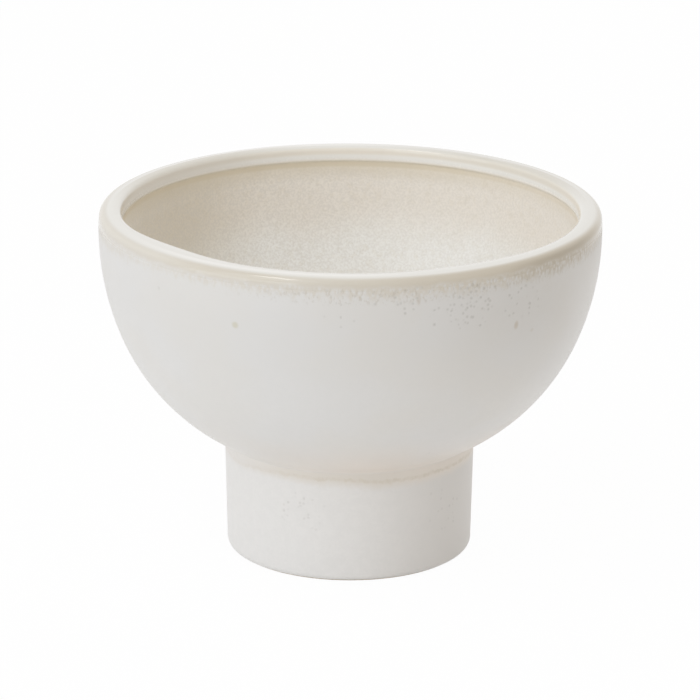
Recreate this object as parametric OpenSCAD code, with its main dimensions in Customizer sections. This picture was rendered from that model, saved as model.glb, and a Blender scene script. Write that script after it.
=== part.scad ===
// Footed compote bowl in glazed stoneware: a deep round bowl on a short hollow foot.
// The bowl and the foot are thrown apart, then stuck together with wet clay slip.
// Each glaze coat is a thin fired shell of its own over the clay.
// Every piece is turned about the Z axis. The foot stands on Z = 0.

/* [Bowl] */
// Width across the widest ring of the glazed bowl
bowl_d = 200; // [182:1:240]
// Height of the middle of the bowl's underside above the table
stand_h = 37.4; // [20:0.1:80]
// Radius of the steep curve of the side
side_r = 108; // [100:0.5:112]
// Radius of the fuller curve that runs under the bowl
under_r = 86; // [78:0.5:92]
// Angle below level at which the side turns into the underside
turn_angle = 23; // [10:0.5:45]
// Thickness of the clay wall
clay_wall = 8.4; // [5:0.1:11]

/* [Lip] */
// Height of the lip above the bowl's widest ring
lip_rise = 8.7; // [7.5:0.1:20]
// Depth of the lip that is dipped in its own glaze, down to the middle of the groove inside
lip_dip = 6.8; // [5.6:0.1:8.4]
// Angle by which the lip's inner face leans outwards
lip_lean = 6; // [0:0.5:12]
// Radius of the lip's outer edge
lip_outer_round = 3.2; // [1.5:0.1:4]
// Radius of the lip's inner edge
lip_inner_round = 1.8; // [1:0.1:3]
// Radius of the groove that the throwing rib left under the lip's inner face
groove_r = 0.8; // [0.4:0.1:1.2]

/* [Foot] */
// Width of the glazed foot where it meets the bowl
foot_top_d = 100.4; // [80:0.2:120]
// Amount by which the foot is narrower at the table than at the bowl
foot_taper = 2; // [0:0.1:16]
// Thickness of the foot's clay wall
foot_wall = 8; // [5:0.1:14]
// Radius of the foot's outer edge at the table
foot_outer_round = 3; // [1.5:0.1:4]
// Radius of the foot's inner edge at the table
foot_inner_round = 1.5; // [1:0.1:2.5]
// Height at which the glaze is wiped off the foot
foot_wipe_h = 0.9; // [0.4:0.1:1.4]

/* [Joint and glaze] */
// Thickness of the slip bed between the bowl and the foot
slip_t = 0.8; // [0.4:0.1:2]
// Radius of the crease that is left in the glaze all round the joint
crease_r = 0.4; // [0.2:0.05:0.45]
// Thickness of each fired glaze coat
glaze_t = 0.6; // [0.5:0.05:1]

/* [Hidden] */
$fn = 180;

// Heights
bowl_r = bowl_d / 2;
turn_dir = [cos(turn_angle), -sin(turn_angle)];
belly_z = stand_h + under_r + (side_r - under_r) * sin(turn_angle);
total_h = belly_z + lip_rise;
dip_z = total_h - lip_dip;

// Half sections are drawn as [distance from the axis, height]
side_centre = [bowl_r - side_r, belly_z];
under_centre = side_centre + (side_r - under_r) * turn_dir;
bowl_thick = clay_wall + 2 * glaze_t;
foot_thick = foot_wall + 2 * glaze_t;
foot_top_r = foot_top_d / 2;
foot_base_r = foot_top_r - foot_taper / 2;

// Cutting shapes run this far, past everything
reach = bowl_d + total_h;

// Radius of the bowl's side at height z, with its surface sunk by some depth
function side_radius(z, depth) = side_centre.x + sqrt(pow(side_r - depth, 2) - pow(z - belly_z, 2));

// Height at which the glazed bowl's underside stands over the foot's top edge
seat_z = under_centre.y - sqrt(pow(under_r, 2) - pow(foot_top_r - under_centre.x, 2));

// Angle by which the foot's wall leans out as it rises
foot_lean = atan((foot_top_r - foot_base_r) / seat_z);

// Radius of the foot's outer surface at height z, with its surface sunk by some depth
function foot_radius(z, depth) = foot_base_r + z * tan(foot_lean) - depth / cos(foot_lean);

// Centres of the lip's two rounded edges
lip_outer_z = total_h - lip_outer_round;
lip_outer_centre = [side_radius(lip_outer_z, lip_outer_round), lip_outer_z];
lip_inner_z = total_h - lip_inner_round;
lip_inner_centre = [
    side_radius(dip_z, bowl_thick)
        + (lip_inner_round + (lip_inner_z - dip_z) * sin(lip_lean)) / cos(lip_lean),
    lip_inner_z
];

// Half plane that lies above the line on which the side and the underside meet
module above_turn() {
    translate(side_centre)
        rotate(-turn_angle)
            translate([-reach, 0])
                square([2 * reach, reach]);
}

// Everything inside the bowl's outer surface when that surface is sunk by some depth
module bowl_shape(depth) {
    flat_r = max(under_centre.x, 0);
    intersection() {
        translate(side_centre)
            circle(r = side_r - depth);
        square([reach, total_h]);
        union() {
            above_turn();
            intersection() {
                translate(under_centre)
                    circle(r = under_r - depth);
                translate([flat_r, 0])
                    square([reach, total_h]);
            }
            translate([0, under_centre.y - under_r + depth])
                square([flat_r, total_h]);
        }
    }
}

// What is cut away to round a corner: all of a wedge but the disc at its point
module corner_cut(centre, radius, from_angle, to_angle) {
    middle = (from_angle + to_angle) / 2;
    translate(centre)
        difference() {
            polygon([
                [0, 0],
                reach * [cos(from_angle), sin(from_angle)],
                reach * [cos(middle), sin(middle)],
                reach * [cos(to_angle), sin(to_angle)]
            ]);
            circle(r = radius);
        }
}

// The hollow of the bowl, with all of its walls pushed out by some depth
module bowl_hollow(depth) {
    start_r = side_radius(dip_z, bowl_thick - depth);
    lip_run = reach - dip_z;
    intersection() {
        bowl_shape(bowl_thick - depth);
        square([reach, dip_z]);
    }
    polygon([
        [0, dip_z],
        [start_r, dip_z],
        [start_r + lip_run * tan(lip_lean), reach],
        [0, reach]
    ]);
    translate([side_radius(dip_z, bowl_thick), dip_z])
        circle(r = groove_r + depth);
}

// Half section of the bowl with every surface sunk by some depth
module bowl_section(depth) {
    outer_edge_angle = atan2(lip_outer_centre.y - side_centre.y, lip_outer_centre.x - side_centre.x);
    difference() {
        intersection() {
            bowl_shape(depth);
            square([reach, total_h - depth]);
        }
        bowl_hollow(depth);
        corner_cut(lip_outer_centre, lip_outer_round - depth, outer_edge_angle, 90);
        corner_cut(lip_inner_centre, lip_inner_round - depth, 90, 180 - lip_lean);
    }
}

// The glaze coat over every surface of the bowl, before it is parted into its coats
module bowl_skin() {
    difference() {
        bowl_section(0);
        bowl_section(glaze_t);
    }
}

// The foot's wall, straight up to the bowl, with its two faces sunk by some depth
module foot_band(depth) {
    polygon([
        [foot_radius(0, foot_thick - depth), 0],
        [foot_radius(0, depth), 0],
        [foot_radius(belly_z, depth), belly_z],
        [foot_radius(belly_z, foot_thick - depth), belly_z]
    ]);
}

// What is cut away to round the foot's outer edge, with its surface sunk by some depth
module foot_outer_edge(depth) {
    edge_r = foot_outer_round - depth;
    corner_cut([foot_radius(edge_r, depth + edge_r), edge_r], edge_r, -90, -foot_lean);
}

// What is cut away to round the foot's inner edge, with its surface sunk by some depth
module foot_inner_edge(depth) {
    edge_r = foot_inner_round - depth;
    corner_cut([foot_radius(edge_r, foot_thick - depth - edge_r), edge_r], edge_r, 180 - foot_lean, 270);
}

// Half section of the foot under the bowl's underside, which is sunk by its own depth
module foot_section(depth, under_depth) {
    difference() {
        foot_band(depth);
        bowl_shape(under_depth);
        foot_outer_edge(depth);
        foot_inner_edge(depth);
    }
}

// The crease in the glaze where the foot meets the bowl
module joint_crease() {
    translate([foot_top_r, seat_z])
        circle(r = crease_r);
}

// Everything above a height from which the glaze is wiped off the foot
module above_wipe(height) {
    translate([0, height])
        square([reach, total_h]);
}

// Everything inside the foot's outer surface when that surface is sunk by some depth
module inside_foot(depth) {
    polygon([
        [0, 0],
        [foot_radius(0, depth), 0],
        [foot_radius(belly_z, depth), belly_z],
        [0, belly_z]
    ]);
}

// Thrown hollow foot, open below, its top end cut to the bowl's round underside
module foot() {
    color([0.78, 0.72, 0.63])
        rotate_extrude()
            foot_section(glaze_t, glaze_t - slip_t);
}

// Bed of slip that sticks the bowl's underside to the foot's top end
module slip_joint() {
    color([0.70, 0.62, 0.52])
        rotate_extrude()
            difference() {
                intersection() {
                    foot_band(glaze_t);
                    bowl_shape(glaze_t - slip_t);
                }
                bowl_shape(glaze_t);
            }
}

// Thrown bowl with a thick square-set lip
module bowl() {
    color([0.80, 0.74, 0.65])
        rotate_extrude()
            bowl_section(glaze_t);
}

// Glaze inside the hollow foot and over the part of the bowl that it rings
module underside_glaze() {
    color([0.86, 0.85, 0.83])
        rotate_extrude()
            intersection() {
                difference() {
                    inside_foot(foot_thick - glaze_t);
                    bowl_shape(glaze_t);
                    difference() {
                        inside_foot(foot_thick);
                        bowl_shape(0);
                    }
                    foot_inner_edge(0);
                }
                above_wipe(max(foot_wipe_h, foot_inner_round - glaze_t));
            }
}

// Satin white glaze over the outside of the foot
module foot_glaze() {
    color([0.87, 0.86, 0.84])
        rotate_extrude()
            intersection() {
                difference() {
                    foot_section(0, 0);
                    foot_section(glaze_t, 0);
                    inside_foot(foot_thick / 2);
                    joint_crease();
                }
                above_wipe(foot_wipe_h);
            }
}

// Satin white glaze over the outside of the bowl, from the foot up to the dipped lip
module bowl_glaze() {
    color([0.88, 0.87, 0.85])
        rotate_extrude()
            difference() {
                intersection() {
                    bowl_skin();
                    square([reach, dip_z]);
                }
                bowl_shape(bowl_thick / 2);
                inside_foot(glaze_t);
                joint_crease();
            }
}

// Speckled cream glaze inside the bowl, up to the lip's inner face
module inner_glaze() {
    color([0.85, 0.80, 0.74])
        rotate_extrude()
            intersection() {
                bowl_skin();
                bowl_shape(bowl_thick / 2);
                square([reach, dip_z]);
            }
}

// Glossy off-white glaze on the dipped lip, over its top and down both of its faces
module lip_glaze() {
    color([0.91, 0.90, 0.87])
        rotate_extrude()
            intersection() {
                bowl_skin();
                translate([0, dip_z])
                    square([reach, total_h]);
            }
}

foot();
slip_joint();
bowl();
underside_glaze();
foot_glaze();
bowl_glaze();
inner_glaze();
lip_glaze();
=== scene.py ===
import math

import bmesh
import bpy
from mathutils import Matrix, Vector


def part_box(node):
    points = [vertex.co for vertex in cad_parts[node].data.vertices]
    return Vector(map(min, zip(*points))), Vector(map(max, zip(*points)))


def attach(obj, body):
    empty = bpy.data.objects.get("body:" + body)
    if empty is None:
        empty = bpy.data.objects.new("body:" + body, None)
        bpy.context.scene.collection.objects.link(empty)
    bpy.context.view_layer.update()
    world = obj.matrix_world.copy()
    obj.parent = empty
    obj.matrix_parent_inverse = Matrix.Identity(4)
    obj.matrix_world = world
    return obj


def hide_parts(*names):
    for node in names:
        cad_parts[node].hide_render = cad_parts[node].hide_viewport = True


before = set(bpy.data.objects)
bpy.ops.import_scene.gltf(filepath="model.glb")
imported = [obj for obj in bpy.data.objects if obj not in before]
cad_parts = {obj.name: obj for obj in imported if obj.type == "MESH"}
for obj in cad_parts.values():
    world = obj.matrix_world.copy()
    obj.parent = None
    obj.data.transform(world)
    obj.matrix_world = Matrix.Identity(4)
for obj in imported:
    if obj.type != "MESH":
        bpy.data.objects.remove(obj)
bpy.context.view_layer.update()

# The thrown bowl. It is turned from buff stoneware clay on a wheel. Glaze covers all of
# it, so the CAD solid keeps its shape and only takes the clay's grain and flecks.
mm = 0.001


class Flow:
    """What comes out of one socket of a material, with sums that add Math nodes."""

    def __init__(self, socket):
        self.socket = socket

    def node(self, kind, settings, inputs, output=0):
        tree = self.socket.id_data
        made = tree.nodes.new("ShaderNode" + kind)
        for name, value in settings.items():
            setattr(made, name, value)
        for name, value in inputs.items():
            if isinstance(value, Flow):
                tree.links.new(value.socket, made.inputs[name])
            else:
                made.inputs[name].default_value = value
        return Flow(made.outputs[output])

    def also(self, output):
        return Flow(self.socket.node.outputs[output])

    def math(self, operation, first, second=0.0):
        return self.node("Math", {"operation": operation}, {0: first, 1: second})

    def __add__(self, other):
        return self.math("ADD", self, other)

    def __sub__(self, other):
        return self.math("SUBTRACT", self, other)

    def __rsub__(self, other):
        return self.math("SUBTRACT", other, self)

    def __mul__(self, other):
        return self.math("MULTIPLY", self, other)

    def __abs__(self):
        return self.math("ABSOLUTE", self)

    __radd__ = __add__
    __rmul__ = __mul__


def new_finish(name):
    """A new material, its shader, and the place on the piece in millimetres."""
    material = bpy.data.materials.new(name)
    material.use_nodes = True
    nodes = material.node_tree.nodes
    place = Flow(nodes.new("ShaderNodeTexCoord").outputs["Object"])
    place = place.node(
        "VectorMath", {"operation": "SCALE"}, {"Vector": place, "Scale": 1 / mm}
    )
    return material, nodes["Principled BSDF"], place


def rise(value, low, high):
    """0 below one level, 1 above another, and a smooth rise between."""
    return value.node(
        "MapRange",
        {"interpolation_type": "SMOOTHSTEP"},
        {"Value": value, "From Min": low, "From Max": high},
    )


def fall(value, low, high):
    """1 below one level, 0 above another, and a smooth fall between."""
    return 1 - rise(value, low, high)


def tint(base, colour, amount):
    return amount.node("Mix", {"data_type": "RGBA"}, {0: amount, 6: base, 7: colour}, 2)


def shade(red, green, blue):
    """A colour as it looks on a screen, in steps of 255, as the shader needs it."""
    return tuple(
        c / 12.92 if c <= 0.04045 else ((c + 0.055) / 1.055) ** 2.4
        for c in (red / 255, green / 255, blue / 255)
    ) + (1.0,)


def stretched(place, size, tall=1.0):
    """The place in grains that many millimetres wide and some times as tall."""
    return place.node(
        "VectorMath",
        {"operation": "MULTIPLY"},
        {0: place, 1: (1 / size, 1 / size, 1 / (size * tall))},
    )


def cloud(place, size, tall=1.0, detail=2.0):
    """Soft noise with grains that many millimetres wide."""
    return place.node(
        "TexNoise",
        {},
        {"Vector": stretched(place, size, tall), "Scale": 1.0, "Detail": detail},
    )


def dots(place, size, tall=1.0):
    """Distance from the middle of scattered cells that many millimetres wide."""
    return place.node(
        "TexVoronoi", {}, {"Vector": stretched(place, size, tall), "Scale": 1.0}
    )


def coat(shader, colour, roughness, relief):
    """Feeds a shader. Relief is in millimetres."""
    tree = shader.id_data
    bump = relief.node("Bump", {}, {"Height": relief, "Distance": mm, "Strength": 1.0})
    for name, value in (
        ("Base Color", colour),
        ("Roughness", roughness),
        ("Normal", bump),
    ):
        tree.links.new(value.socket, shader.inputs[name])


clay_buff = shade(206, 190, 164)
clay_dark = shade(178, 158, 128)
clay_fleck = shade(112, 88, 66)

stoneware, shader, place = new_finish("stoneware")
sand = cloud(place, 0.7, detail=4.0)
fleck = fall(dots(place, 2.6), 0.1, 0.22)
clay = tint(clay_buff, clay_dark, rise(sand, 0.42, 0.66) * 0.55)
clay = tint(clay, clay_fleck, fleck * 0.6)
coat(shader, clay, 0.82 + 0.1 * sand, 0.12 * sand - 0.08 * fleck)


def cover(node, material):
    """Gives a clay solid its material."""
    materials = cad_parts[node].data.materials
    materials.clear()
    materials.append(material)


cover("bowl", stoneware)

# The thrown foot. It is a hollow ring of the same clay with its walls leaning out a
# little, and it stays bare where it stands on the table, as it did in the kiln.
cover("foot", stoneware)

# The slip bed. It is the same clay let down with water to a cream, and it was brushed
# on the foot's top end to stick the bowl down. It fires darker and finer.
slip_buff = shade(178, 156, 128)
slip_dark = shade(160, 138, 110)

slip, shader, place = new_finish("slip")
silt = cloud(place, 0.4, detail=3.0)
coat(
    shader,
    tint(slip_buff, slip_dark, rise(silt, 0.4, 0.6)),
    0.86 + 0.06 * silt,
    0.05 * silt,
)
cover("slip_joint", slip)

# The glaze on the outside of the bowl. The pot was dipped in a satin white, which has a
# breath of cream above the foot. Under the glossy lip it breaks to tan in a ragged
# fringe with droplets and pinholes, and it ran down the foot to a tan tide line.
wheel_steps = 192
side_r = 108.0
under_r = 86.0
turn_angle = 23.0
bowl_r = 100.0
stand_h = 37.4
clay_depth = 0.6
dip_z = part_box("lip_glaze")[0].z / mm
belly_z = stand_h + under_r + (side_r - under_r) * math.sin(math.radians(turn_angle))
side_centre = (bowl_r - side_r, belly_z)
under_centre = (
    side_centre[0] + (side_r - under_r) * math.cos(math.radians(turn_angle)),
    side_centre[1] - (side_r - under_r) * math.sin(math.radians(turn_angle)),
)
foot_base_r = 49.2
foot_top_r = 50.2
seat_z = under_centre[1] - math.sqrt(under_r**2 - (foot_top_r - under_centre[0]) ** 2)
foot_lean = math.degrees(math.atan((foot_top_r - foot_base_r) / seat_z))
turn_z = belly_z - side_r * math.sin(math.radians(turn_angle))
fillet_r = 1.5
fillet_skirt = 1.5
back_low_z = 47.0
# Steps in the side's arc and the underside's arc, on a face that is seen or hidden
seen_steps = (24, 30)
hidden_steps = (12, 16)


def on_circle(centre, radius, degrees):
    angle = math.radians(degrees)
    return (
        centre[0] + radius * math.cos(angle),
        centre[1] + radius * math.sin(angle),
    )


def aim(start, end):
    """Degrees from level at which one point sees another."""
    return math.degrees(math.atan2(end[1] - start[1], end[0] - start[0]))


def foot_r(height, depth=0.0):
    """Radius of the foot's outer side at a height, sunk by some depth."""
    lean = math.radians(foot_lean)
    return foot_base_r + height * math.tan(lean) - depth / math.cos(lean)


# The fillet touches the foot and the bowl, and a few rounds settle its centre
fillet_z = seat_z
for _ in range(4):
    fillet_x = foot_r(fillet_z, -fillet_r)
    fillet_z = under_centre[1] - math.sqrt(
        (under_r + fillet_r) ** 2 - (fillet_x - under_centre[0]) ** 2
    )
fillet_centre = (fillet_x, fillet_z)
run_end_z = fillet_z - fillet_skirt


def wall(depth, top_z, low_z, steps=seen_steps):
    """The two arcs of the bowl's curve from one height down to another."""
    high = math.degrees(math.asin((top_z - side_centre[1]) / (side_r - depth)))
    low_share = max(-1.0, (low_z - under_centre[1]) / (under_r - depth))
    low = math.degrees(math.asin(low_share))
    return [
        (side_centre, -turn_angle - high, steps[0]),
        (under_centre, low + turn_angle, steps[1]),
    ]


def climb(arcs):
    """The same arcs drawn the other way."""
    return [(centre, -degrees, steps) for centre, degrees, steps in reversed(arcs)]


def outline(start, *strokes):
    """A closed half section of points to draw to and arcs to swing round a centre."""
    shape = bmesh.new()
    first = tip = shape.verts.new((start[0] * mm, 0, start[1] * mm))
    for stroke in strokes:
        if len(stroke) == 2:
            tip = bmesh.ops.extrude_vert_indiv(shape, verts=[tip])["verts"][0]
            tip.co = (stroke[0] * mm, 0, stroke[1] * mm)
            continue
        centre, degrees, steps = stroke
        swung = bmesh.ops.spin(
            shape,
            geom=[tip],
            cent=(centre[0] * mm, 0, centre[1] * mm),
            axis=(0, -1, 0),
            angle=math.radians(degrees),
            steps=steps,
        )
        tip = next(v for v in swung["geom_last"] if isinstance(v, bmesh.types.BMVert))
    shape.edges.new((tip, first))
    return shape


merge_within = 0.0001 * mm
smooth_turn = 38


def throw(shape):
    """Turns a half section all the way round on the wheel."""
    bmesh.ops.spin(
        shape,
        geom=shape.verts[:] + shape.edges[:],
        cent=(0, 0, 0),
        axis=(0, 0, 1),
        angle=math.tau,
        steps=wheel_steps,
        use_merge=True,
    )
    bmesh.ops.remove_doubles(shape, verts=shape.verts, dist=merge_within)
    bmesh.ops.recalc_face_normals(shape, faces=shape.faces)
    return shape


def make_piece(shape, name, materials, slot, *nodes):
    """Turns a finished shape into a piece that stands for CAD nodes."""
    mesh = bpy.data.meshes.new(name)
    shape.to_mesh(mesh)
    shape.free()
    mesh.shade_smooth()
    mesh.set_sharp_from_angle(angle=math.radians(smooth_turn))
    for material in materials:
        mesh.materials.append(material)
    made = bpy.data.objects.new(name, mesh)
    bpy.context.scene.collection.objects.link(made)
    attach(made, "root")
    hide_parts(*nodes)
    return made


satin_white = shade(220, 219, 217)
satin_warm = shade(220, 218, 214)
# Darker satin: thinner glaze near the lip, and painted shade on the right
satin_thin_and_shaded = shade(200, 197, 192)
# Lighter satin: painted light from the right and behind
satin_painted_light = shade(230, 229, 227)
satin_grain = shade(214, 213, 210)
# The foot's satin in painted light, and in painted shade
foot_painted_lit = shade(227, 225, 222)
foot_painted_shade = shade(213, 210, 206)
# Painted light from the floor on the underside above the foot
underside_painted_light = shade(231, 230, 227)
cream_breath = shade(232, 222, 211)
# The run's real cream in painted shade, and with less of it on the right
run_cream_shaded = shade(219, 213, 204)
run_cream_less_shaded = shade(226, 219, 210)
break_tan = shade(202, 193, 176)
break_deep = shade(176, 166, 148)
tide_tan = shade(208, 200, 186)
lip_white = shade(233, 232, 227)
lip_cream = shade(234, 228, 217)
# A painted sheen on the lip's top
lip_painted_sheen = shade(250, 249, 246)
pinhole_grey = shade(150, 146, 138)
iron_brown = shade(186, 172, 152)
grit_grey = shade(180, 172, 158)
ash_olive = shade(190, 184, 152)

# Spots in the glaze: colour, degrees round, height, width, how much taller, strength
iron_spots = (
    (ash_olive, -116.0, 119.3, 1.9, 1.0, 0.45),
    (iron_brown, -49.9, 115.5, 1.5, 1.7, 0.5),
    (iron_brown, -44.5, 111.4, 1.2, 1.0, 0.2),
    (iron_brown, -75.0, 132.0, 1.3, 2.4, 0.3),
)
# The larger pinholes: degrees round, height, width, depth of colour
open_pinholes = (
    (-59.5, 133.4, 1.0, 0.38),
    (-56.6, 133.2, 1.0, 0.3),
    (-57.9, 128.0, 1.0, 0.34),
    (-62.1, 122.5, 1.0, 0.38),
    (-71.3, 121.4, 1.0, 0.36),
    (-62.8, 132.6, 0.9, 0.32),
    (-61.2, 135.0, 0.9, 0.3),
    (-60.3, 130.0, 0.9, 0.38),
    (-66.8, 128.6, 0.9, 0.3),
    (-65.0, 128.0, 0.9, 0.28),
    (-63.6, 126.6, 0.9, 0.36),
    (-61.9, 126.7, 0.8, 0.28),
    (-59.8, 125.4, 0.9, 0.3),
    (-63.9, 120.8, 0.8, 0.28),
    (-52.0, 127.2, 0.8, 0.26),
    (-52.3, 120.3, 0.9, 0.24),
    (-80.2, 133.3, 0.9, 0.32),
    (-79.6, 130.5, 0.9, 0.28),
    (-84.6, 131.0, 0.9, 0.28),
    (-137.2, 127.3, 1.2, 0.16),
    (-63.3, 58.7, 0.9, 0.12),
    (-122.2, 24.9, 1.0, 0.14),
    (-113.6, 30.4, 0.9, 0.14),
    (-111.1, 25.7, 0.9, 0.15),
    (-101.3, 32.0, 0.9, 0.12),
    (-49.5, 33.4, 1.0, 0.2),
    (-42.5, 33.6, 1.0, 0.15),
    (-49.7, 22.0, 0.9, 0.15),
)
# Where small pinholes crowd: degrees round, height, how far they spread, how many
pinhole_crowds = (
    (-63.0, 127.0, 13.0, 0.6),
    (-75.0, 131.0, 11.0, 0.34),
    (-92.0, 127.0, 10.0, 0.2),
    (-48.0, 127.0, 14.0, 0.26),
    (-113.0, 28.5, 15.0, 0.3),
    (-38.0, 25.0, 12.0, 0.24),
)
# The end of the break band where it stays pale: its middle and its reach
pale_end = ((100.0, 0.0, 138.0), 12.0, 32.0)

# Heights between which one part of the glaze gives way to another
foot_to_bowl = (45.2, 46.8)
side_to_lip = (138.0, 140.0)
satin_to_gloss = (134.0, 138.0)
# Where the glaze broke to tan: radii over the lip's edge, heights, the fringe below
edge_bends = (96.5, 99.1)
band_starts = (135.4, 138.4)
fringe_full_z = 136.6
fringe_end_z = 129.6
droplet = 1.3
# Where the run down the foot stopped, and where the painted light on the underside and
# the cream fade up the bowl
tide_z = 43.5
underside_light_fades = (46.0, 58.0)
cream_fades = (44.0, 72.0)
# How far right of the middle one side of the pot gives way to the other
left_to_right = (-70.0, 70.0)
# The ring of painted sheen along the top of the lip, and how far left of the middle it
# is brightest
gleam_r = 94.6
gleam_left = 30.0


def outer_r(height):
    """Radius of the glazed piece at a height."""
    if height < seat_z:
        return foot_r(height)
    centre, radius = under_centre, under_r
    if height > turn_z:
        centre, radius = side_centre, side_r
    return centre[0] + math.sqrt(radius**2 - (height - centre[1]) ** 2)


def on_side(degrees, height):
    angle = math.radians(degrees)
    radius = outer_r(height)
    return (radius * math.cos(angle), radius * math.sin(angle), height)


def near(place, spot, full, none, tall=1.0):
    """1 close to a spot, falling to 0 further off."""
    squeezed = (1, 1, 1 / tall)
    away = place.node("VectorMath", {"operation": "MULTIPLY"}, {0: place, 1: squeezed})
    away = away.node(
        "VectorMath",
        {"operation": "DISTANCE"},
        {0: away, 1: tuple(a * b for a, b in zip(spot, squeezed))},
        "Value",
    )
    return fall(away, full, none)


def measures(place):
    """How far right of the middle, how far back, how high, how far from the axis."""
    split = place.node("SeparateXYZ", {}, {0: place})
    flat = place.node("VectorMath", {"operation": "MULTIPLY"}, {0: place, 1: (1, 1, 0)})
    from_axis = flat.node("VectorMath", {"operation": "LENGTH"}, {0: flat}, "Value")
    return split.also("X"), split.also("Y"), split.also("Z"), from_axis


def pinholes(place):
    """Small round holes that the glaze left open, thick where they crowd."""
    cells = dots(place, 1.6)
    chance = cells.node("SeparateColor", {}, {0: cells.also("Color")})
    crowd = None
    for degrees, height, spread, share in pinhole_crowds:
        here = near(place, on_side(degrees, height), 0.4 * spread, spread) * share
        crowd = here if crowd is None else crowd.math("MAXIMUM", crowd, here)
    holes = fall(cells, 0.05, 0.6) * rise(chance + crowd, 0.98, 1.16) * 0.32
    for degrees, height, width, depth in open_pinholes:
        away = place.node(
            "VectorMath",
            {"operation": "DISTANCE"},
            {0: place, 1: on_side(degrees, height)},
            "Value",
        )
        hole = away.node(
            "MapRange",
            {"interpolation_type": "SMOOTHSTEP"},
            {"Value": away, "From Max": width, "To Min": depth, "To Max": 0.0},
        )
        holes = holes.math("MAXIMUM", holes, hole)
    return holes


def break_band(place, fringe, drop):
    """How far the glaze broke to tan, from the lip's edge down to the fringe's end."""
    across, _, height, from_axis = measures(place)
    wander = cloud(place, 9.0, tall=3.0)
    far_left = fall(across, -97.0, -80.0)
    front_left = fall(abs(across + 46.0), 8.0, 32.0)
    to_middle = rise(across, -60.0, 0.0)
    far_right = rise(across, 80.0, 98.0)

    strength = 0.56 + 0.38 * rise(across, *left_to_right)
    strength = strength * (1 - 0.35 * near(place, *pale_end))
    strength = strength + 0.18 * front_left
    lean = 0.009 * abs(across) - 0.9 * far_right
    over_edge = rise(from_axis + lean, *edge_bends)
    band = rise(height + 3.0 * (wander - 0.5), *band_starts)
    # Beads of white glaze break up the fringe, least at its far left
    beaded = fringe * (0.82 - (0.35 + 0.8 * wander) * drop)
    beaded = beaded * (0.7 + 0.3 * to_middle)
    beaded = beaded + 0.45 * fringe * far_left
    return band.math("MAXIMUM", band, beaded) * over_edge * strength


def grit_under_lip(place):
    """Fine grey grit in the fringe, which fades out to the left."""
    across, _, height, _ = measures(place)
    above_end = rise(height, 129.5, 132.5)
    below_lip = fall(height, 135.5, 138.0)
    off_left = rise(across, -66.0, 0.0)
    grit = rise(cloud(place, 1.1, tall=1.5, detail=3.0), 0.52, 0.66)
    grit = grit * above_end * below_lip * off_left
    return grit * (1 - near(place, *pale_end))


def above_tide(place):
    """How far a place on the foot is above the line where the bowl's glaze stopped."""
    across, _, height, _ = measures(place)
    waves = cloud(place, 16.0, tall=8.0)
    ragged = cloud(place, 2.0, tall=1.4, detail=3.0)
    left_end = fall(across, -46.0, -28.0)
    past_middle = rise(across, -8.0, 16.0)
    right_end = rise(across, 28.0, 37.0)

    line = tide_z + 2.4 * (waves - 0.5) + 2.2 * (ragged - 0.5)
    line = line - 1.4 * left_end - 1.6 * past_middle + 0.3 * right_end
    return height - line


def satin(place, patches):
    """The plain glaze of foot and bowl, thinner near the lip. Painted shade darkens it
    near the lip on the right and on the foot's right; painted light brightens the
    foot's left, the bowl's lower right flank and its far right edge.
    """
    across, _, height, _ = measures(place)
    toward_lip = rise(height, 78.0, 124.0)
    low_down = fall(height, 66.0, 94.0)
    below_band = fall(height, 116.0, 138.0)
    on_right = rise(across, 20.0, 70.0)
    right_flank = rise(across, 44.0, 74.0)
    far_right = rise(across, 78.0, 102.0)
    foot_right = rise(across, 0.0, 60.0)

    colour = tint(satin_white, satin_warm, rise(patches, 0.35, 0.65))
    # Thinner glaze darkens it toward the lip, and painted shade darkens it further on
    # the right
    colour = tint(colour, satin_thin_and_shaded, toward_lip * (0.24 + 0.3 * on_right))
    # Painted light brightens the lower right flank and the far right edge
    colour = tint(colour, satin_painted_light, right_flank * low_down * 0.7)
    colour = tint(colour, satin_painted_light, far_right * below_band * 0.55)
    # The foot goes from painted light on the left to painted shade on the right
    foot_light_and_shade = tint(foot_painted_lit, foot_painted_shade, foot_right)
    return tint(foot_light_and_shade, colour, rise(height, *foot_to_bowl))


def lip_sheen(across, from_axis):
    """How much painted sheen the lip's top takes, most along the middle of its top on
    the left.
    """
    ring = fall(abs(from_axis - gleam_r), 0.3, 2.0)
    stretch = fall(abs(across + gleam_left), 24.0, 66.0)
    return 0.58 * ring * stretch


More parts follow.
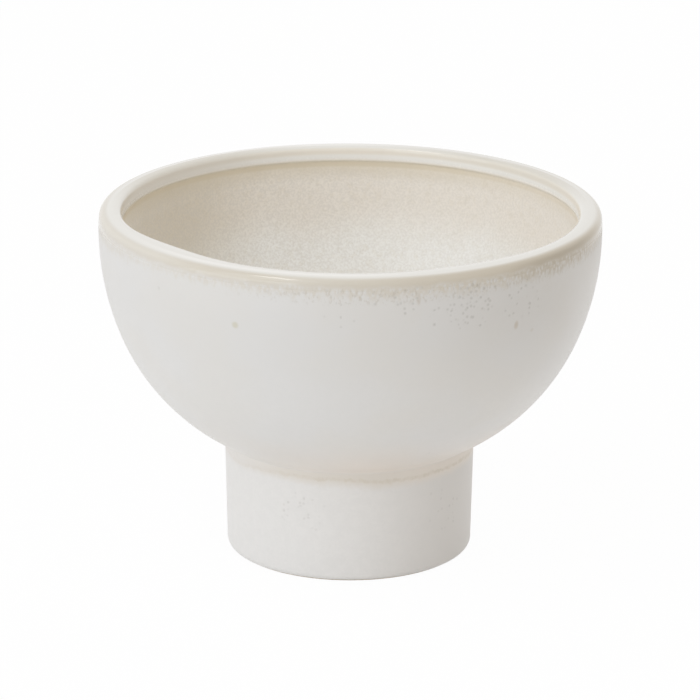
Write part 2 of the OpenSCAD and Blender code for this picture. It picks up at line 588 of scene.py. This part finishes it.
def outside_glaze(name):
    """Satin white, a tan line on the foot, and a tan break band under a white lip."""
    material, shader, place = new_finish(name)
    across, _, height, from_axis = measures(place)
    patches = cloud(place, 38.0)
    ragged = cloud(place, 1.9, tall=2.4, detail=3.0)
    peel = cloud(place, 3.4)
    speckle = cloud(place, 1.1, detail=3.0)
    on_bowl = rise(height, *foot_to_bowl)
    on_lip = rise(height, *side_to_lip)
    rightward = rise(across, *left_to_right)

    # The fringe reaches lowest at the far left and on the right
    off_far_left = rise(across, -94.0, -76.0)
    fringe_low = fringe_end_z + 3.0 * off_far_left - 2.4 * rightward
    fringe = rise(height + 7.0 * (ragged - 0.5), fringe_low, fringe_full_z)
    drop = fall(dots(place, droplet, 1.5), 0.1, 0.7)
    tan = break_band(place, fringe, drop)
    # It is darkest on the right, short of its end and of the lip's top
    from_right = rise(across, 54.0, 80.0)
    before_end = fall(across, 88.0, 99.0)
    below_top = fall(height, 138.9, 140.5)
    deep = tan * from_right * before_end * below_top

    # The run down the foot is cream above the tide line, darkened by a painted shade
    # that carries the underside's shade down to the line, paler on the right, and faint
    # at the far left
    above = above_tide(place)
    off_left = rise(across, -48.0, -20.0)
    front = rise(across, -48.0, 4.0)
    run = rise(above, -3.4 - 1.4 * front, 0.2) * (1 - on_bowl)
    run = run * (0.4 + 0.6 * off_left)
    tide = fall(abs(above + 0.1), 0.2, 1.2) * (0.15 + 0.5 * front)
    tide = tide * (0.45 + 0.55 * rise(ragged, 0.4, 0.6))
    breath = on_bowl * fall(height, *cream_fades) * (0.5 + patches)
    breath = breath * (0.3 + 0.5 * front + 0.2 * rightward)

    colour = satin(place, patches)
    colour = tint(colour, satin_grain, 0.2 * rise(peel + speckle, 0.75, 1.25))
    # Painted light from the bright floor lightens the underside just above the foot
    colour = tint(colour, underside_painted_light, on_bowl * fall(height, *underside_light_fades))
    colour = tint(colour, cream_breath, breath * 0.8)
    # Real cream of the run, darkened by painted shade, less so on the right
    run_cream_and_shade = tint(run_cream_shaded, run_cream_less_shaded, rise(across, 8.0, 36.0))
    colour = tint(colour, run_cream_and_shade, run)
    colour = tint(colour, tide_tan, tide)
    colour = tint(colour, lip_white, on_lip)
    # Painted sheen along the top of the lip, left of the middle
    colour = tint(colour, lip_painted_sheen, lip_sheen(across, from_axis) * on_lip)
    colour = tint(colour, break_tan, tan)
    colour = tint(colour, break_deep, deep * 0.8)
    colour = tint(colour, grit_grey, grit_under_lip(place) * 0.36)
    for tone, degrees, high, wide, tall, dark in iron_spots:
        spot = near(place, on_side(degrees, high), wide * 0.3, wide, tall)
        colour = tint(colour, tone, spot * dark)
    holes = pinholes(place)
    colour = tint(colour, pinhole_grey, holes * (0.6 + 0.4 * on_bowl))

    gloss = rise(height, *satin_to_gloss)
    step = rise(above, -0.6, 0.8)
    relief = 0.018 * peel - 0.15 * holes + 0.03 * fringe * drop + 0.04 * step
    coat(
        shader,
        colour,
        0.42 - 0.34 * gloss + 0.08 * (patches - 0.5) * (1 - gloss),
        relief * (1 - on_lip),
    )
    return material


outer_glaze = outside_glaze("outer_glaze")
dip_angle = math.degrees(math.asin((dip_z - belly_z) / side_r))
touch = on_circle(under_centre, under_r, aim(under_centre, fillet_centre))
glazed_outside = outline(
    on_circle(side_centre, side_r, dip_angle),
    *wall(0, dip_z, touch[1]),
    (fillet_centre, 180 - foot_lean - aim(fillet_centre, under_centre), 10),
    (foot_r(run_end_z), run_end_z),
    (foot_r(run_end_z, clay_depth), run_end_z),
    on_circle(under_centre, under_r - clay_depth, aim(under_centre, touch)),
    *climb(wall(clay_depth, dip_z, back_low_z, hidden_steps)),
)
throw(glazed_outside)
make_piece(
    glazed_outside, "glazed_outside", [outer_glaze], "white_glaze", "bowl_glaze"
)

# The glaze on the inside of the bowl. It is a cream that breaks into fine white and
# buff grains, whiter towards the bottom, with a tan line in the groove
# that the rib cut under the lip. Fingers pressed the lip thicker in three places.
bowl_thick = 9.6
rim_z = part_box("lip_glaze")[1].z / mm
lip_lean = 6.0
lip_outer_round = 3.2
lip_inner_round = 1.8
lip_crown = 0.14
bead_round = 1.0
bead_turn = 40.0
groove_round = 1.2
ramp_round = 22.0
face_above_dip = 1.5

lip_outer_z = rim_z - lip_outer_round
lip_outer_x = side_centre[0] + math.sqrt(
    (side_r - lip_outer_round) ** 2 - (lip_outer_z - belly_z) ** 2
)
lip_outer_centre = (lip_outer_x, lip_outer_z - lip_crown)
wall_r = side_centre[0] + math.sqrt((side_r - bowl_thick) ** 2 - (dip_z - belly_z) ** 2)
lip_inner_z = rim_z - lip_inner_round
lip_inner_centre = (
    wall_r
    + (lip_inner_round + (lip_inner_z - dip_z) * math.sin(math.radians(lip_lean)))
    / math.cos(math.radians(lip_lean)),
    lip_inner_z - lip_crown,
)

inside_cream = shade(241, 235, 226)
inside_white = shade(248, 248, 245)
grain_shade = shade(206, 201, 193)
grain_tan = shade(204, 192, 167)
groove_tan = shade(212, 200, 176)
face_white = shade(238, 236, 231)
# The lip's inner face in painted shade, for the left
face_painted_shade = shade(223, 218, 209)
# A painted shade for the inner half of the lip's top at the back
lip_painted_shade = shade(219, 215, 205)
# Heights between which one part of the glaze gives way to the one above it
white_to_cream = (84.0, 132.0)
cream_to_ramp = (125.5, 133.0)
groove_z = 133.4
groove_to_face = (134.4, 136.2)
face_to_edge = (136.9, 138.3)
edge_to_top = (139.4, 140.2)
# Radii between which the inner half of the lip's top gives way to the outer half
lip_halves = (93.4, 95.4)
# A warmer, darker patch of the glaze at the back on the left, high up: its middle and
# its reach
warm_patch = ((-77.0, 52.0, 125.0), 12.0, 58.0)


def inside_glaze(name):
    """Fine mottled cream, a tan groove and a white face below the lip."""
    material, shader, place = new_finish(name)
    across, back, height, from_axis = measures(place)
    grains = cloud(place, 0.9, detail=3.0)
    blots = cloud(place, 2.6)
    patches = cloud(place, 26.0)
    wander = cloud(place, 9.0, tall=4.0)

    on_left = fall(across, -76.0, -20.0)
    rightward = rise(across, -60.0, 50.0)
    on_right = rise(across, 20.0, 84.0)
    far_right = rise(across, 58.0, 86.0)
    at_back = rise(back, 0.0, 50.0)
    off_middle = rise(abs(across), 14.0, 56.0)

    white = fall(height, *white_to_cream) + 0.35 * (blots - 0.5) + 0.5 * (patches - 0.5)
    dark = fall(grains + 0.16 * (blots - 0.5), 0.32, 0.68)
    warm = near(place, *warm_patch)
    faint = 1 - 0.5 * on_right
    ramp = rise(height, *cream_to_ramp) * (0.72 + 0.5 * (wander - 0.5)) * faint
    groove = fall(abs(height - groove_z), 0.3, 1.6) * faint
    face = rise(height, *groove_to_face)
    edge = rise(height, *face_to_edge)
    top = rise(height - 0.3 * at_back, *edge_to_top)
    # At the back the inner half of the lip's top is darker than the outer half, a
    # painted shade
    outward = from_axis + 0.0175 * across - 2.6 * far_right
    inner_half = fall(outward, *lip_halves) * at_back * off_middle

    colour = tint(inside_cream, inside_white, rise(white, 0.15, 0.85))
    colour = tint(colour, grain_tan, warm * (0.5 + 0.5 * (patches - 0.5)))
    colour = tint(colour, grain_shade, dark * (0.4 - 0.14 * rightward))
    colour = tint(colour, grain_tan, 0.13 * rise(blots, 0.48, 0.66))
    colour = tint(colour, groove_tan, ramp * 0.7)
    colour = tint(colour, face_white, face)
    colour = tint(colour, lip_cream, edge)
    # Painted shade on the inner face at the left
    colour = tint(colour, face_painted_shade, on_left * face * 0.8)
    colour = tint(colour, groove_tan, groove * 0.8)
    colour = tint(colour, lip_white, top)
    # Painted sheen on the lip's top, kept off the inner half at the back
    gleam = lip_sheen(across, from_axis) * top * (1 - inner_half)
    colour = tint(colour, lip_painted_sheen, gleam)
    # Painted shade on the inner half of the lip at the back
    colour = tint(colour, lip_painted_shade, inner_half * (0.4 * edge + 0.5 * top))
    coat(
        shader,
        colour,
        0.36 - 0.1 * face - 0.12 * edge + 0.1 * (grains - 0.5),
        0.02 * grains * (1 - face),
    )
    return material


def below_both(first, first_r, second, second_r):
    """The lower crossing of two circles, where a third one touches both."""
    apart = math.dist(first, second)
    along = (apart**2 + first_r**2 - second_r**2) / (2 * apart)
    turn = math.degrees(math.acos(along / first_r))
    return min(
        on_circle(first, first_r, aim(first, second) + turn),
        on_circle(first, first_r, aim(first, second) - turn),
        key=lambda point: point[1],
    )


def ease(value, low, high):
    share = min(1.0, max(0.0, (value - low) / (high - low)))
    return share * share * (3 - 2 * share)


# Where the lip was pressed thicker: degrees round, by how much, how far each way
finger_presses = ((-140.0, 3.9, 18.0), (-107.0, 1.6, 26.0), (-60.0, 1.9, 18.0))
press_fades_z = 104.0


def press(shape):
    """Moves the wall's inner side where the fingers left the lip thicker."""
    for vert in shape.verts:
        radius = math.hypot(vert.co.x, vert.co.y) / mm
        height = vert.co.z / mm
        if height < stand_h or radius < 1:
            continue
        angle = math.degrees(math.atan2(vert.co.y, vert.co.x))
        inner = 1 - ease(radius, lip_inner_centre[0], lip_outer_centre[0])
        moved = sum(
            amount * math.exp(-(((angle - at) / reach) ** 2))
            for at, amount, reach in finger_presses
        )
        moved *= ease(height, press_fades_z, dip_z) * inner
        vert.co.x *= (radius - moved) / radius
        vert.co.y *= (radius - moved) / radius


inner_glaze = inside_glaze("inner_glaze")
floor_z = stand_h + bowl_thick
inside_r = side_r - bowl_thick
face_top = on_circle(lip_inner_centre, lip_inner_round, 180 - lip_lean)
face_low_z = dip_z + face_above_dip
face_low = (
    face_top[0] - (face_top[1] - face_low_z) * math.tan(math.radians(lip_lean)),
    face_low_z,
)
bead_centre = on_circle(face_low, bead_round, -lip_lean)
bead_end = 180 - lip_lean + bead_turn
groove_centre = on_circle(bead_centre, bead_round + groove_round, bead_end)
ramp_centre = below_both(
    groove_centre, groove_round + ramp_round, side_centre, inside_r + ramp_round
)
ramp_start = on_circle(groove_centre, groove_round, aim(groove_centre, ramp_centre))
ramp_angle = aim(side_centre, ramp_centre)
ramp_end = on_circle(side_centre, inside_r, ramp_angle)
glazed_inside = outline(
    ramp_start,
    (
        ramp_centre,
        (aim(ramp_centre, side_centre) - aim(ramp_centre, groove_centre)) % 360,
        10,
    ),
    *wall(bowl_thick, ramp_end[1], floor_z),
    (0, floor_z),
    (0, floor_z - clay_depth),
    (under_centre[0], floor_z - clay_depth),
    *climb(
        wall(bowl_thick - clay_depth, ramp_start[1], floor_z - clay_depth, hidden_steps)
    ),
)
throw(glazed_inside)
press(glazed_inside)
make_piece(
    glazed_inside, "glazed_inside", [inner_glaze], "cream_glaze", "inner_glaze"
)

# The glossy glaze on the lip. The lip was dipped once more, upside down, so the glaze
# lies thick and white on its softly crowned top and breaks to tan over its outer edge.
lip_crown_r = 14.0
lip_back_in = 1
outer_sink = lip_crown_r - lip_outer_round
inner_sink = lip_crown_r - lip_inner_round
crown_centre = below_both(lip_outer_centre, outer_sink, lip_inner_centre, inner_sink)
crown_from = aim(crown_centre, lip_outer_centre)
crown_to = aim(crown_centre, lip_inner_centre)
shoulder = aim(side_centre, lip_outer_centre)
glazed_lip = outline(
    on_circle(side_centre, side_r, dip_angle),
    on_circle(side_centre, side_r, (dip_angle + shoulder) / 2),
    on_circle(lip_outer_centre, lip_outer_round, shoulder),
    (lip_outer_centre, crown_from - shoulder, 18),
    (crown_centre, crown_to - crown_from, 12),
    (lip_inner_centre, 180 - lip_lean - crown_to, 14),
    ((face_top[0] + face_low[0]) / 2, (face_top[1] + face_low[1]) / 2),
    face_low,
    (bead_centre, bead_turn, 10),
    (groove_centre, aim(groove_centre, ramp_centre) - bead_end + 180, 10),
    (ramp_start[0] + clay_depth, ramp_start[1]),
    (lip_inner_centre[0] - lip_back_in, lip_inner_centre[1]),
    (lip_inner_centre[0], rim_z - 2 * clay_depth),
    (lip_outer_centre[0], rim_z - 2 * clay_depth),
    on_circle(lip_outer_centre, lip_outer_round - clay_depth, shoulder),
    on_circle(side_centre, side_r - clay_depth, dip_angle),
)
throw(glazed_lip)
middle_r = (lip_inner_centre[0] + lip_outer_centre[0]) / 2
for face in glazed_lip.faces:
    middle = face.calc_center_median()
    face.material_index = int(math.hypot(middle.x, middle.y) / mm < middle_r)
press(glazed_lip)
make_piece(
    glazed_lip, "glazed_lip", [outer_glaze, inner_glaze], "lip_glaze", "lip_glaze"
)

# The glaze on the foot. It is the same satin white, wiped off the ring that stood on
# the kiln shelf. The bowl's glaze ran a little way down over it before it set.
foot_outer_round = 3.0
wipe_z = 0.9
foot_rings = range(6, 42, 3)

foot_edge_centre = (foot_r(foot_outer_round, foot_outer_round), foot_outer_round)
wiped_at = math.degrees(math.asin((wipe_z - foot_outer_round) / foot_outer_round))
back_round = foot_outer_round - clay_depth
wiped_back = math.degrees(math.asin((wipe_z - foot_outer_round) / back_round))
glazed_foot = outline(
    on_circle(foot_edge_centre, foot_outer_round, wiped_at),
    (foot_edge_centre, -foot_lean - wiped_at, 16),
    *[(foot_r(z), z) for z in foot_rings],
    (foot_r(run_end_z), run_end_z),
    (foot_r(run_end_z, clay_depth), run_end_z),
    on_circle(foot_edge_centre, back_round, -foot_lean),
    (foot_edge_centre, wiped_back + foot_lean, 8),
)
throw(glazed_foot)
make_piece(glazed_foot, "glazed_foot", [outer_glaze], "white_glaze", "foot_glaze")

# The glaze under the bowl. It was poured into the hollow foot and swilled round, and it
# covers the foot's inner wall and the middle of the bowl's underside.
foot_thick = 9.2
foot_inner_round = 1.5
joint_z = 42.3
hollow_rings = range(4, 42, 3)

poured_glaze, shader, place = new_finish("poured_glaze")
patches = cloud(place, 24.0)
curtain = cloud(place, 6.0, tall=3.0)
coat(
    shader,
    tint(satin_white, cream_breath, rise(curtain + 0.4 * patches, 0.6, 0.95) * 0.7),
    0.4 + 0.1 * (patches - 0.5),
    0.05 * curtain,
)


def underside_z(radius, depth=0.0):
    """Height of the bowl's underside over a radius."""
    return under_centre[1] - math.sqrt(
        (under_r - depth) ** 2 - (radius - under_centre[0]) ** 2
    )


front_top_r = foot_r(joint_z, foot_thick)
front_top = (front_top_r, underside_z(front_top_r))
back_top_r = foot_r(joint_z, foot_thick - clay_depth)
back_top = (back_top_r, underside_z(back_top_r, clay_depth))
glazed_underside = outline(
    (foot_r(foot_inner_round, foot_thick), foot_inner_round),
    *[(foot_r(z, foot_thick), z) for z in hollow_rings],
    front_top,
    (under_centre, -90 - aim(under_centre, front_top), 30),
    (0, stand_h),
    (0, stand_h + clay_depth),
    (under_centre[0], stand_h + clay_depth),
    (under_centre, 90 + aim(under_centre, back_top), 20),
    (foot_r(foot_inner_round, foot_thick - clay_depth), foot_inner_round),
)
throw(glazed_underside)
make_piece(
    glazed_underside,
    "glazed_underside",
    [poured_glaze],
    "underside_glaze",
    "underside_glaze",
)

# The studio. A white floor and white surroundings, a wide window and a skylight on the
# left, a small strip that puts the streak on the lip, and a white board behind on the
# right. The camera is at the photo's height and distance.
floor_reach = 6.0
floor_shape = bmesh.new()
bmesh.ops.create_grid(floor_shape, x_segments=1, y_segments=1, size=floor_reach)
floor_mesh = bpy.data.meshes.new("floor")
floor_shape.to_mesh(floor_mesh)
floor_shape.free()
floor = bpy.data.objects.new("floor", floor_mesh)
bpy.context.scene.collection.objects.link(floor)

floor_white = shade(249, 249, 249)
floor_glow = 0.97
paper = bpy.data.materials.new("paper")
paper.use_nodes = True
paper_nodes = paper.node_tree.nodes
paper_shader = paper_nodes["Principled BSDF"]
paper_shader.inputs["Base Color"].default_value = floor_white
paper_shader.inputs["Roughness"].default_value = 1.0
paper_shader.inputs["Specular IOR Level"].default_value = 0.0
rays = Flow(paper_nodes.new("ShaderNodeLightPath").outputs["Is Camera Ray"])
glow = rays.node("Emission", {}, {"Color": (1, 1, 1, 1), "Strength": 1.0})
seen = rays.math("MAXIMUM", rays, rays.also("Is Glossy Ray")) * floor_glow
lit = rays.node("MixShader", {}, {0: seen, 1: Flow(paper_shader.outputs[0]), 2: glow})
clear = rays.node("BsdfTransparent", {}, {})
below = rays.node("NewGeometry", {}, {}).also("Backfacing")
lit = rays.node("MixShader", {}, {0: below, 1: lit, 2: clear})
paper.node_tree.links.new(lit.socket, paper_nodes["Material Output"].inputs["Surface"])
floor_mesh.materials.append(paper)

world_light = 0.73
world_tone = (1.0, 0.963, 0.923, 1.0)
world = bpy.data.worlds.new("studio")
world.use_nodes = True
bpy.context.scene.world = world
world_nodes = world.node_tree.nodes
rays = Flow(world_nodes.new("ShaderNodeLightPath").outputs["Is Camera Ray"])
seen = rays.math("MAXIMUM", rays, rays.also("Is Glossy Ray"))
seen = rays.math("MAXIMUM", seen, rays.also("Is Transmission Ray"))
sky = rays.node("Background", {}, {"Color": world_tone, "Strength": world_light})
backdrop = rays.node("Background", {}, {"Color": (1, 1, 1, 1), "Strength": 1.0})
sky = rays.node("MixShader", {}, {0: seen, 1: sky, 2: backdrop})
world.node_tree.links.new(sky.socket, world_nodes["World Output"].inputs["Surface"])

lamps_away = 1.8
lamps_aim_z = 0.09
daylight = (0.82, 0.9, 1.0)
plain_light = (1.0, 1.0, 1.0)


def soft_light(name, degrees_left, degrees_up, width, height, watts, colour):
    """A soft box that faces the bowl from some degrees left of the camera."""
    lamp = bpy.data.lights.new(name, "AREA")
    lamp.color = colour
    lamp.shape = "RECTANGLE"
    lamp.size = width
    lamp.size_y = height
    lamp.energy = watts
    box = bpy.data.objects.new(name, lamp)
    bpy.context.scene.collection.objects.link(box)
    left, up = math.radians(degrees_left), math.radians(degrees_up)
    back = Vector(
        (-math.sin(left) * math.cos(up), -math.cos(left) * math.cos(up), math.sin(up))
    )
    box.location = Vector((0, 0, lamps_aim_z)) + back * lamps_away
    box.rotation_euler = back.to_track_quat("Z", "Y").to_euler()
    box.visible_camera = False
    return box


soft_light("window", 50, 12, 1.7, 1.15, 9.6, daylight)
soft_light("skylight", 50, 50, 1.0, 1.0, 2.9, daylight)
soft_light("strip", 64, 68, 0.5, 0.22, 2.4, plain_light)
board = soft_light("board", -138, 14, 1.2, 1.0, 2.2, plain_light)
board.visible_glossy = False

view_down = math.radians(17.788)
view_roll = math.radians(0.27)
view_away = 1.75
view_aim_z = 0.08094
view_aside = 0.00008
sensor_width = 36.0
lens_length = 224.36
camera_data = bpy.data.cameras.new("camera")
camera_data.sensor_width = sensor_width
camera_data.lens = lens_length
camera = bpy.data.objects.new("camera", camera_data)
bpy.context.scene.collection.objects.link(camera)
camera.matrix_world = (
    Matrix.Translation(
        (
            view_aside,
            -view_away * math.cos(view_down),
            view_aim_z + view_away * math.sin(view_down),
        )
    )
    @ Matrix.Rotation(math.pi / 2 - view_down, 4, "X")
    @ Matrix.Rotation(view_roll, 4, "Z")
)
bpy.context.scene.camera = camera
bpy.context.scene.view_settings.view_transform = "Standard"
